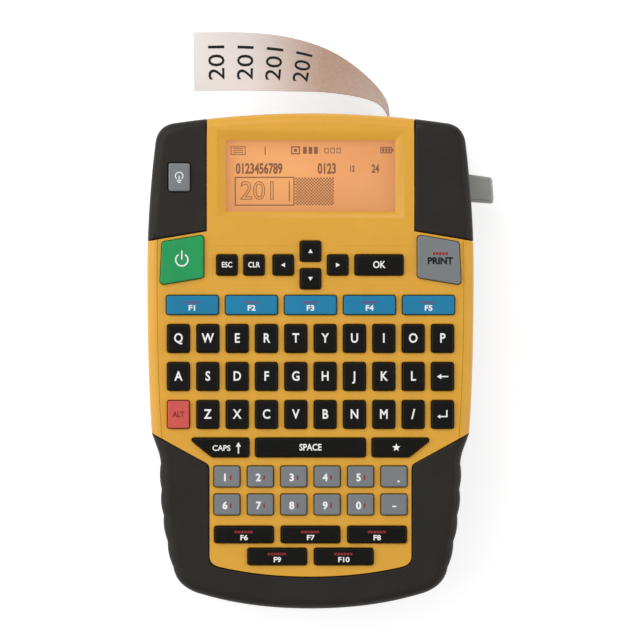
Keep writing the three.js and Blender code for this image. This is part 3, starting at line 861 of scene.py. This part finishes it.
def yellow_front(openings):
    """The front shell, between the corner guards and the grip."""
    corner, (side, corner_side), (top_number, corner_top) = guard_seam(SEAM)
    (tip_number, tip), lower = panel_edge(-SEAM)
    right = [
        *of_kind("seam", reversed(lower[:-1])),
        *of_kind("grooved", [tip, *between(side, tip_number, tip, corner_side)]),
        *of_kind("seam", [corner_side, corner]),
        *of_kind("edge", [corner_top, *between(1, top_number, corner_top)]),
    ]
    outline = [(*lower[-1], "seam"), *right, (*HALF[0], "edge"), *mirror_kinds(right)]
    shape = Shape()
    shell(shape, outline, DECK_Z, 0.1, [*openings, display_recess()])
    cluster_frame(shape)
    shape.piece("yellow_front", "shell_yellow", [YELLOW], ["front_shell"])


def corner_guards(left_openings):
    corner, (side, corner_side), (top_number, corner_top) = guard_seam(-SEAM)
    rim = [corner_side, *between(top_number, side, corner_side, corner_top)]
    guard = [(*corner, "seam"), *of_kind("edge", rim), (*corner_top, "seam")]
    for side, outline, openings in (("right", guard, []),
                                    ("left", mirror_loop(guard), left_openings)):
        shape = Shape()
        shell(shape, outline, DECK_Z + RUBBER_PROUD, 0.7, openings)
        shape.piece(f"{side}_guard_cover", "rubber_black", [RUBBER], [f"{side}_corner_guard"])


def grip_cover():
    (tip_number, tip), lower = panel_edge(SEAM)
    right = [
        *of_kind("edge", between(tip_number, -1, tip, clear=2 * ROLL)),
        *of_kind("seam", [tip, *lower[:-1]]),
    ]
    outline = [(*HALF[-1], "edge"), *right, (*lower[-1], "seam"), *mirror_kinds(right)]
    shape = Shape()
    shell(shape, outline, DECK_Z + RUBBER_PROUD, 0.7)
    shape.piece("grip_cover", "rubber_black", [RUBBER], ["lower_grip"])


def mirror_loop(points):
    """The mirror image of a closed outline, still running anticlockwise."""
    return [(-x, y, points[i - 1][2]) for i, (x, y, _) in reversed(list(enumerate(points)))]


def mirror_kinds(points):
    """The mirror image of a run of an outline, whose last edge has the kind of its first point."""
    made = mirror_loop(points)
    return [*made[:-1], (*made[-1][:2], points[0][2])]


def cluster_frame(shape):
    """A fine raised line on the deck, round the row of control keys."""
    high, low = box("up_key")[1].y - 2.4, box("down_key")[0].y + 2.2
    beads = [rectangle(x, x + 0.4, low + 0.7, high - 0.3) for x in (-39.6, 39.2)]
    beads += [rectangle(x, x + 31.4, y, y + 0.4) for x in (-39.4, 8.0) for y in (low, high)]
    for bead in beads:
        block(shape, rounded(bead, 0.18, 2), DECK_Z - 0.2, DECK_Z + 0.08, radius=0.05, steps=2)


def display_recess():
    """The bevelled recess round the display: its outline at the bottom, and its profiles."""
    bottom = DECK_Z - DECK_THICKNESS
    corners = rectangle(WINDOW_LEFT, WINDOW_RIGHT, WINDOW_LOW, WINDOW_HIGH)
    outline = [(*corner, kind) for corner, kind in zip(corners, ("below", "side", "above", "side"))]
    widths = {"side": 3.6, "above": 4.0, "below": 2.8}
    wall = [(0, bottom), (0, bottom + 0.5), (-0.1, bottom + 0.55)]
    return outline, {kind: [*wall, (-width + 0.25, DECK_Z - 0.08), (-width, DECK_Z),
                            (-width - 0.06, DECK_Z)]
                     for kind, width in widths.items()}


def rear_casing():
    """The rear shell, open above, with openings in its flat back for the door and the cover."""
    door_low, door_high = box("cassette_door")
    cover_low, cover_high = box("battery_cover")
    bottom, top = box("rear_shell")[0].z, REAR_TOP_Z
    roll = [(inset, -height) for inset, height in fillet(ROLL, -bottom, 6)]
    inside = [(WALL, bottom + WALL), (WALL, top), (0, top)]
    gap, rim = 0.4, 0.3
    openings = [
        rectangle(door_low.x - gap, door_high.x + gap, 3.0, door_high.y + gap),
        rectangle(cover_low.x - gap, cover_high.x + gap, cover_low.y - gap, cover_high.y + gap),
    ]
    holes = [*[rounded(hole, 0.8, 3) for hole in openings], *[circle(x, y, 2.6) for x, y in SCREWS]]
    plain = [(0, bottom + WALL), (0, bottom + rim), (-0.3 * rim, bottom + 0.3 * rim),
             (-rim, bottom), (-rim - 0.06, bottom)]
    shape = Shape()
    pierced(shape, lofted([*reversed(HALF), *[(-x, y) for x, y in HALF[1:-1]]],
                          [*inside, (0, bottom + ROLL + 0.7), *roll]),
            [lofted(hole, plain) for hole in holes])
    made = shape.piece("rear_casing", "casing_black", [CASING], ["rear_shell"])
    cutters = Shape()
    for x0, x1, y0, y1, z0, z1 in (
        (30, 34, 90, HALF_LENGTH + 5, 3.6, 30.4),  # label slot
        (HALF_WIDTH - 6, HALF_WIDTH + 5, 62.6, 77, 13.5, 24.5),  # cutter lever
        (-36.4, -23.6, 90, HALF_LENGTH + 5, 11.6, 22.4),  # power inlet
    ):
        closed(cutters, upright(rectangle(x0, x1, y0, y1), (z0, z1)))
    cut_out(made, cutters)


def plate(shape, loops, x0, x1):
    """A plate standing across X: an outline in (y, z), with any others as holes through it."""
    sides = [[[(x, y, z) for y, z in loop] for x in (x0, x1)] for loop in loops]
    for side in sides:
        skin(shape, side)
    flat = [[Vector((y, z, 0)) for y, z in loop] for loop in loops]
    for end in (0, 1):
        shape.add([p for side in sides for p in side[end]], tessellate_polygon(flat))


def rear_fittings():
    """Inside the rear shell: the wall between its two bays, hinge lugs and screw bosses."""
    floor_z, top = box("rear_shell")[0].z + 2.4, REAR_TOP_Z
    pin_low, pin_high = box("door_hinge_pin")
    y, z = (pin_low.y + pin_high.y) / 2, (pin_low.z + pin_high.z) / 2
    shape = Shape()
    half = HALF_WIDTH - 1.5
    block(shape, rectangle(-half, half, -4.5, -2), floor_z, top - 2, radius=0.3)
    for x0 in (-52, 48.2):
        lug = rounded(rectangle(y - 2.6, y + 2.6, floor_z, z + 2.8), 1.4, 4)
        plate(shape, [lug, circle(y, z, 1.5, 20)], x0, x0 + 3.8)
    profile = [(0, floor_z), (0, top - 1.4), (0.3, top - 1), (0.5, top - 1)]
    for place in SCREWS:
        bore = upright(circle(*place, 1.4), (top - 1, top - 9))
        loops = lofted(circle(*place, 3.6), profile)
        for part in (loops, bore):
            skin(shape, part)
        for part in ([bore[1]], [loops[-1], bore[0]], [loops[0]]):
            cap(shape, part)
    shape.piece("rear_fittings", "casing_black", [CASING])


def cut_out(piece, cutters):
    """Cuts a shape out of a piece's mesh."""
    tool = cutters.piece("openings", "casing_black", [CASING])
    modifier = piece.modifiers.new("openings", "BOOLEAN")
    modifier.operation = "DIFFERENCE"
    modifier.solver = "EXACT"
    modifier.object = tool
    bpy.context.view_layer.update()
    graph = bpy.context.evaluated_depsgraph_get()
    cut = bpy.data.meshes.new_from_object(piece.evaluated_get(graph))
    piece.modifiers.clear()
    piece.data = cut
    cut.set_sharp_from_angle(angle=CREASE)
    bpy.data.objects.remove(tool)


def case_screws():
    """Four cross-head screws at the bottom of the holes in the back."""
    shape = Shape()
    arm, half = 1.3, 0.28
    quarter = [(arm, -half), (arm, half), (half, half)]
    cross = [point for degrees in (0, 90, 180, 270) for point in turned(quarter, 0, 0, degrees)]
    profile = [(0, -4.9), (0, -3.0), (0.15, -2.7), (0.5, -2.5), (0.62, -2.5)]
    for x, y in SCREWS:
        loops = upside_down(lofted(circle(x, y, 2.3), profile))
        skin(shape, loops)
        cap(shape, [loops[0]])
        slot = upright([(x + u, y + v) for u, v in cross], (2.5, 3.3))
        skin(shape, slot)
        cap(shape, [slot[1]])
        cap(shape, [loops[-1], slot[0]])
    shape.piece("case_screws", "bright_steel", [STEEL])


# ---- display


def display_graphics():
    """On the lit panel: a status row, a line of numbers, a framed entry and a checked block."""
    z = box("display_module")[1].z + 0.01
    left, high = WINDOW_LEFT, WINDOW_HIGH
    shape = Shape()

    def bar(x, y, width, height):
        mark(shape, rectangle(left + x, left + x + width, high - y - height, high - y), z, 0)

    def frame_of(x, y, width, height, line):
        x0, y0 = left + x, high - y - height
        outer = rectangle(x0, x0 + width, y0, y0 + height)
        inner = rectangle(x0 + line, x0 + width - line, y0 + line, y0 + height - line)
        walls = [upright(part, (z, z + INK_HEIGHT)) for part in (outer, inner)]
        for wall in walls:
            skin(shape, wall)
        for loops in zip(*walls):
            cap(shape, loops)

    frame_of(2.0, 2.4, 6.0, 3.4, 0.3)
    for i in range(3):
        bar(3.0, 3.1 + 0.8 * i, 4.0, 0.3)
    bar(15.6, 2.4, 0.4, 3.4)
    frame_of(26.2, 2.4, 3.6, 3.2, 0.5)
    bar(27.4, 3.4, 1.2, 1.2)
    for i in range(3):
        bar(31.0 + 2.2 * i, 2.6, 1.5, 2.8)
    for x in (39.6, 42.0, 44.4):
        frame_of(x, 3.0, 1.7, 2.2, 0.3)
    frame_of(62.0, 2.6, 4.6, 2.6, 0.4)
    bar(66.7, 3.3, 0.5, 1.2)
    for i in range(3):
        bar(62.7 + 1.2 * i, 3.2, 0.8, 1.4)
    for words, x, size in (("0123456789", 13.4, 5.2), ("0123", 40.6, 5.2), ("12", 50.6, 3.0),
                           ("24", 60.0, 4.2)):
        write(shape, words, left + x, high - 11.5, z, size, 0.035, (0.72, 1.1), 0)
    frame_of(3.6, 14.6, 24.0, 11.6, 0.45)
    bar(25.3, 16.4, 0.4, 8.0)
    outlined(shape, "201", left + 13.4, high - 20.5, z, 10.2)
    size = 0.62
    for column in range(25):
        for line in range(18):
            if (column + line) % 2 == 0:
                bar(27.9 + size * column, 14.9 + size * line, size * 0.98, size * 0.98)
    shape.piece("display_segments", "display_orange", [DISPLAY_INK])


def outlined(shape, words, x, y, z, size):
    """Characters drawn as fine outlines."""
    points, faces = characters(words, size, fill_mode="NONE", bevel_depth=0.16,
                               bevel_resolution=0, resolution_u=4)
    shape.add([(x + p.x, y + p.y, z + 0.05 + 0.3 * p.z) for p in points], faces)


# ---- label, cutter, door and power

LABEL_WIDTH = 24.0
LABEL_THICKNESS = 0.3
LABEL_ROUTE = [
    (32, 89.9, 17), (32, 97.7, 17), (28.8, 105.5, 18), (19.5, 112, 20), (5, 117.6, 23),
    (-12, 120.4, 26), (-30, 121.2, 28), (-47.4, 121, 29),
]


def label_path():
    """Points along the label's centreline, evenly spaced, and its length."""
    samples, between_knots = 160, 24
    knots = [Vector(p) for p in LABEL_ROUTE]
    knots = [2 * knots[0] - knots[1], *knots, 2 * knots[-1] - knots[-2]]
    fine = []
    for a, b, c, d in zip(knots, knots[1:], knots[2:], knots[3:]):
        for i in range(between_knots):
            t = i / between_knots
            fine.append(0.5 * (2 * b + (c - a) * t + (2 * a - 5 * b + 4 * c - d) * t**2
                               + (3 * b - a - 3 * c + d) * t**3))
    fine.append(knots[-2])
    lengths = [0.0]
    for p, q in zip(fine, fine[1:]):
        lengths.append(lengths[-1] + (q - p).length)
    made, k = [], 0
    for i in range(samples + 1):
        want = lengths[-1] * i / samples
        while k < len(fine) - 2 and lengths[k + 1] < want:
            k += 1
        share = (want - lengths[k]) / (lengths[k + 1] - lengths[k])
        made.append(fine[k].lerp(fine[k + 1], share))
    return made, lengths[-1]


def label_place():
    """A function that puts (along, across, height) of the flat label onto its bent form."""
    path, length = label_path()
    steps = len(path) - 1

    def place(point):
        along, across, height = point
        share = min(1.0, max(0.0, along / length))
        k = min(steps - 1, int(share * steps))
        centre = path[k].lerp(path[k + 1], share * steps - k)
        forward = (path[min(steps, k + 2)] - path[max(0, k - 1)]).normalized()
        begun = min(1.0, max(0.0, (share - 0.07) / 0.93))
        turn = pi / 2 * sin(begun * pi / 2) ** 1.2
        outward = forward.cross(Vector((0, 0, 1))).normalized()
        sideways = outward * sin(turn) - Vector((0, 0, 1)) * cos(turn)
        face = forward.cross(sideways).normalized()
        if face.z < 0:
            face = -face
        return centre + sideways * across + face * height

    return place, length


def label_strip():
    place, length = label_place()
    shape = Shape()
    rows, columns = 90, 8
    half, thick = LABEL_WIDTH / 2, LABEL_THICKNESS / 2

    def sheet(height):
        return [place((length * i / rows, -half + LABEL_WIDTH * j / columns, height))
                for i in range(rows + 1) for j in range(columns + 1)]

    wide = columns + 1
    count = (rows + 1) * wide
    top = [(i * wide + j, i * wide + j + 1, (i + 1) * wide + j + 1, (i + 1) * wide + j)
           for i in range(rows) for j in range(columns)]
    border = list(range(wide))
    border += [i * wide + columns for i in range(1, rows + 1)]
    border += [rows * wide + j for j in reversed(range(columns))]
    border += [i * wide for i in reversed(range(1, rows))]
    faces = [*top, *[tuple(count + i for i in reversed(face)) for face in top]]
    faces += [(a, b, count + b, count + a) for a, b in zip(border, [*border[1:], border[0]])]
    shape.add([*sheet(thick), *sheet(-thick)], faces)

    def printed(point):
        return place((-point[0], point[1], point[2]))

    for i in range(4):
        along = length - 9.6 - 11.7 * i
        write(shape, "201", -along, 0.4, thick, 10.4, 0.004, (1.05, 0.9), turn=pi / 2,
              place=printed)
    shape.piece("label_strip", "label_stock", [TAPE, DARK_INK], ["printed_label"])


def cutter_tab():
    """The grey side lever: a tab with finger ribs on its end, on an arm that reaches the blade."""
    low, high = box("cutter_lever")
    shape = Shape()
    tab = [(62.4, 64.6), (high.x - 0.3, low.y), (high.x - 0.4, 69), (high.x - 1.0, 74.3),
           (62.4, 75.9)]
    block(shape, rounded(tab, 1.0, 4), low.z, high.z, radius=1.1, steps=5)
    for i in range(4):
        y = low.y + 1.9 + 2.2 * i
        x = high.x - 0.4 - 0.055 * (y - low.y)
        rib = rounded(rectangle(x - 0.6, x + 0.3, y, y + 1.0), 0.28, 3)
        block(shape, rib, low.z + 1.5, high.z - 1.7, radius=0.3)
    arm = [(48, 66), (62.6, 66), (62.6, 74), (54, 74), (54, high.y), (48, high.y)]
    block(shape, arm, 16, 22, radius=0.5)
    shape.piece("cutter_tab", "lever_grey", [LEVER], ["cutter_lever"], "cutter")


def round_loop(centre, along, aside, radius, sides):
    """A ring of points round a centre, square to a direction."""
    other = along.cross(aside)
    angles = [2 * pi * k / sides for k in range(sides)]
    return [tuple(centre + (aside * cos(a) + other * sin(a)) * radius) for a in angles]


def round_ended(shape, loops, number=0):
    """A solid through round loops, with one face of many sides at each end."""
    sides = len(loops[0])
    skin(shape, loops, number)
    shape.add(loops[0], [tuple(reversed(range(sides)))], number)
    shape.add(loops[-1], [tuple(range(sides))], number)


def tube(shape, path, radius):
    """A round wire along a list of points."""
    loops, aside, sides = [], None, 8
    for i, point in enumerate(path):
        along = (path[min(len(path) - 1, i + 1)] - path[max(0, i - 1)]).normalized()
        aside = (aside - along * aside.dot(along) if aside else along.orthogonal()).normalized()
        loops.append(round_loop(point, along, aside, radius, sides))
    round_ended(shape, loops)


def return_spring():
    """A wound wire of one fixed length: the spring that the cutter shortens when it is pushed in.
    """
    low, high = box("cutter_spring")
    wire, turns, steps = 0.4, 5, 20
    y, z = (low.y + high.y) / 2, (low.z + high.z) / 2
    radius = (high.y - low.y) / 2 - wire - 0.1
    x0, x1 = low.x + wire, high.x - wire
    path = []
    for i in range(turns * steps + 1):
        share = i / (turns * steps)
        angle = share * turns * 2 * pi
        path.append(Vector((x0 + (x1 - x0) * share, y + radius * cos(angle),
                            z + radius * sin(angle))))
    shape = Shape()
    tube(shape, path, wire)
    made = shape.piece("return_spring", "bright_steel", [STEEL], ["cutter_spring"])
    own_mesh(made)


def drum(shape, path, radii, number, sides=24):
    """A solid of revolution along a straight path of points, with a radius for each."""
    along = (path[-1] - path[0]).normalized()
    aside = along.orthogonal().normalized()
    loops = [round_loop(p, along, aside, r, sides) for p, r in zip(path, radii)]
    round_ended(shape, loops, number)


def batteries():
    """Six cells, alternately reversed: a dark jacket, a bright band and a raised positive end."""
    low, high = box("battery_cells")
    count = 6
    radius, z = (high.z - low.z) / 2, (low.z + high.z) / 2
    r = radius - 0.15  # the drawn cells stay clear of the tray
    pitch = (high.x - low.x - 2 * radius) / (count - 1)
    length = abs(low.y - high.y)
    shape = Shape()
    for i in range(count):
        x = low.x + radius + i * pitch
        start, way = (low.y, 1) if i % 2 else (high.y, -1)
        jacket = [(0.3, r - 0.9), (0.31, r - 0.5), (0.6, r), (length * 0.7, r)]
        bright = [(length * 0.7 - 0.5, r - 0.05), (length * 0.7, r - 0.05),
                  (length - 1.9, r - 0.05), (length - 1.4, r - 0.7)]
        tip = [(length - 1.5, 2.7), (length - 0.4, 2.6), (length - 0.1, 2.2)]
        for number, part in enumerate((jacket, bright, tip)):
            path = [Vector((x, start + way * at, z)) for at, _ in part]
            drum(shape, path, [size for _, size in part], number)
    shape.piece("cells", "cell_jacket", [JACKET, COPPER, STEEL], ["battery_cells"])


def cassette():
    """The label cassette: a rounded case with a foot for the tape, a moulded seam and two hubs."""
    low, high = box("label_cassette")
    foot_x, foot_y = 26.4, 42.1
    case = [(low.x, low.y), (high.x, low.y), (high.x, foot_y), (foot_x, foot_y),
            (foot_x, high.y), (low.x, high.y)]
    shape = Shape()
    seam = (low.z + high.z) / 2
    profile = [(1.0, low.z), (0.5, low.z + 0.1), (0.1, low.z + 0.5), (0, low.z + 1.0),
               (0, seam - 0.3), (0.4, seam), (0, seam + 0.3), (0, high.z - 1.0),
               (0.3, high.z - 0.3), (1.0, high.z)]
    loops = lofted(rounded(case, 2.0, 4), profile)
    skin(shape, loops)
    places = ((-28, 48, 4.0), (8, 60, 3.0))
    hubs = [lofted(circle(*place), [(0, low.z), (0, low.z + 6)]) for place in places]
    for hub in hubs:
        skin(shape, hub)
        cap(shape, [hub[1]])
    cap(shape, [loops[0], *[hub[0] for hub in hubs]])
    cap(shape, [loops[-1]])
    for x, y, r in places:
        for u, v in circle(x, y, r * 0.82, 6):
            tooth = [Vector((u, v, low.z + 0.4)), Vector((u, v, low.z + 5.9))]
            drum(shape, tooth, [0.35, 0.35], 1, sides=8)
    shape.piece("cassette_case", "cassette_grey", [CASSETTE, NYLON], ["label_cassette"])


def cover_ridges():
    """Low finger ridges standing out of the battery cover."""
    low, high = box("battery_cover")
    z, pitch = low.z, 2.2
    profile = [(0, -z - 0.2), (0, -z), (0.1, -z + 0.25), (0.35, -z + 0.4)]
    shape = Shape()
    for i in range(5):
        y = high.y - 14 + i * pitch
        outline = rounded(rectangle(-8, 8, y, y + pitch * 0.45), 0.5, 3)
        closed(shape, upside_down(lofted(outline, profile)))
    shape.piece("cover_ridges", "casing_black", [CASING], body="cover")


# ---- CAD pieces that stay


def keep(node, material, edge):
    """A CAD node that stays in view, with softened edges and a better material."""
    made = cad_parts[node]
    made.material_slots[0].material = material
    made.data.shade_smooth()
    made.data.set_sharp_from_angle(angle=radians(40))
    weld = made.modifiers.new("joined_faces", "WELD")
    weld.merge_threshold = 0.001 * MM
    if edge:
        soften = made.modifiers.new("softened_edges", "BEVEL")
        soften.width = edge * MM
        soften.segments = 2
        soften.limit_method = "ANGLE"
        soften.angle_limit = radians(40)


def kept_pieces():
    """The nodes that stay, each with its material and the width of its softened edges."""
    for node, material, edge in (
        ("display_window", DISPLAY_SHEET, 0.2), ("display_module", PANEL, 0),
        ("main_board", BOARD, 0), ("keypad_mat", SILICONE, 0), ("power_socket", CASING, 0.3),
        ("print_chassis", ALUMINIUM, 0.15), ("print_head", ALUMINIUM, 0.2),
        ("drive_motor", STEEL, 0.3), ("motor_pinion", NYLON, 0), ("platen_gear", NYLON, 0),
        ("platen_roller", RUBBER, 0.2), ("label_tape", TAPE, 0), ("cutter_blade", STEEL, 0.1),
        ("cassette_door", CASING, 0.25), ("cassette_window", SMOKED_SHEET, 0.15),
        ("door_hinge_pin", STEEL, 0.1), ("battery_cover", CASING, 0.25),
        ("battery_tray", CASING, 0.2),
    ):
        keep(node, material, edge)


# ---- camera, light and floor


def camera():
    """Straight above the face, framed a little up and to the right of its centre."""
    width = 256 * MM
    distance = 2400 * MM
    data = bpy.data.cameras.new("camera")
    data.sensor_width = 36
    data.lens = data.sensor_width * distance / width
    data.clip_end = 20
    made = linked("camera", data)
    made.location = (3.8 * MM, 16.4 * MM, DECK_Z * MM + distance)
    bpy.context.scene.camera = made


def area_light(name, place, size, power):
    """A square light that faces the object, in metres."""
    data = bpy.data.lights.new(name, "AREA")
    data.size = size
    data.energy = power
    made = linked(name, data)
    made.location = place
    made.rotation_mode = "QUATERNION"
    made.rotation_quaternion = (-Vector(place)).to_track_quat("-Z", "Y")


def studio():
    """An even pale world, a key light behind the left shoulder, and a light at each side."""
    scene = bpy.context.scene
    scene.view_settings.view_transform = "Standard"
    world = bpy.data.worlds.new("studio")
    world.use_nodes = True
    give(world.node_tree.nodes["Background"], Color=(1, 1, 1, 1), Strength=0.5)
    scene.world = world
    area_light("key", (-0.75, 0.85, 1.35), 1.6, 17)
    for side in (-1, 1):
        area_light(f"side_{side}", (1.3 * side, -0.1, 0.8), 0.8, 4.6)


def pale_floor():
    """A sheet of pale paper just below the object, lit a little from within to stay pale."""
    half, low = 4.0, -0.1 * MM
    mesh = bpy.data.meshes.new("floor")
    mesh.from_pydata([(x, y, low) for x, y in rectangle(-half, half, -half, half)], [],
                     [(0, 1, 2, 3)])
    floor = linked("floor", mesh)
    made, tree, shader = new_material("floor_paper")
    paper = ramp(noise(tree, 3, 2), (0.3, [0.61] * 3), (0.7, [0.63] * 3))
    link(paper, shader.inputs["Base Color"])
    give(shader, Roughness=0.7, Emission_Color=(1, 1, 1, 1), Emission_Strength=0.64)
    mesh.materials.append(made)


# ---- the object

camera()
studio()
pale_floor()
kept_pieces()
all_keys = keypad()
guard_keys = [key for key in all_keys if key.node == "backlight_key"]
make_keys(all_keys)
yellow_front(key_openings([key for key in all_keys if key not in guard_keys], DECK_Z))
corner_guards(key_openings(guard_keys, DECK_Z + RUBBER_PROUD))
grip_cover()
rear_casing()
rear_fittings()
case_screws()
display_graphics()
label_strip()
cutter_tab()
return_spring()
batteries()
cassette()
cover_ridges()
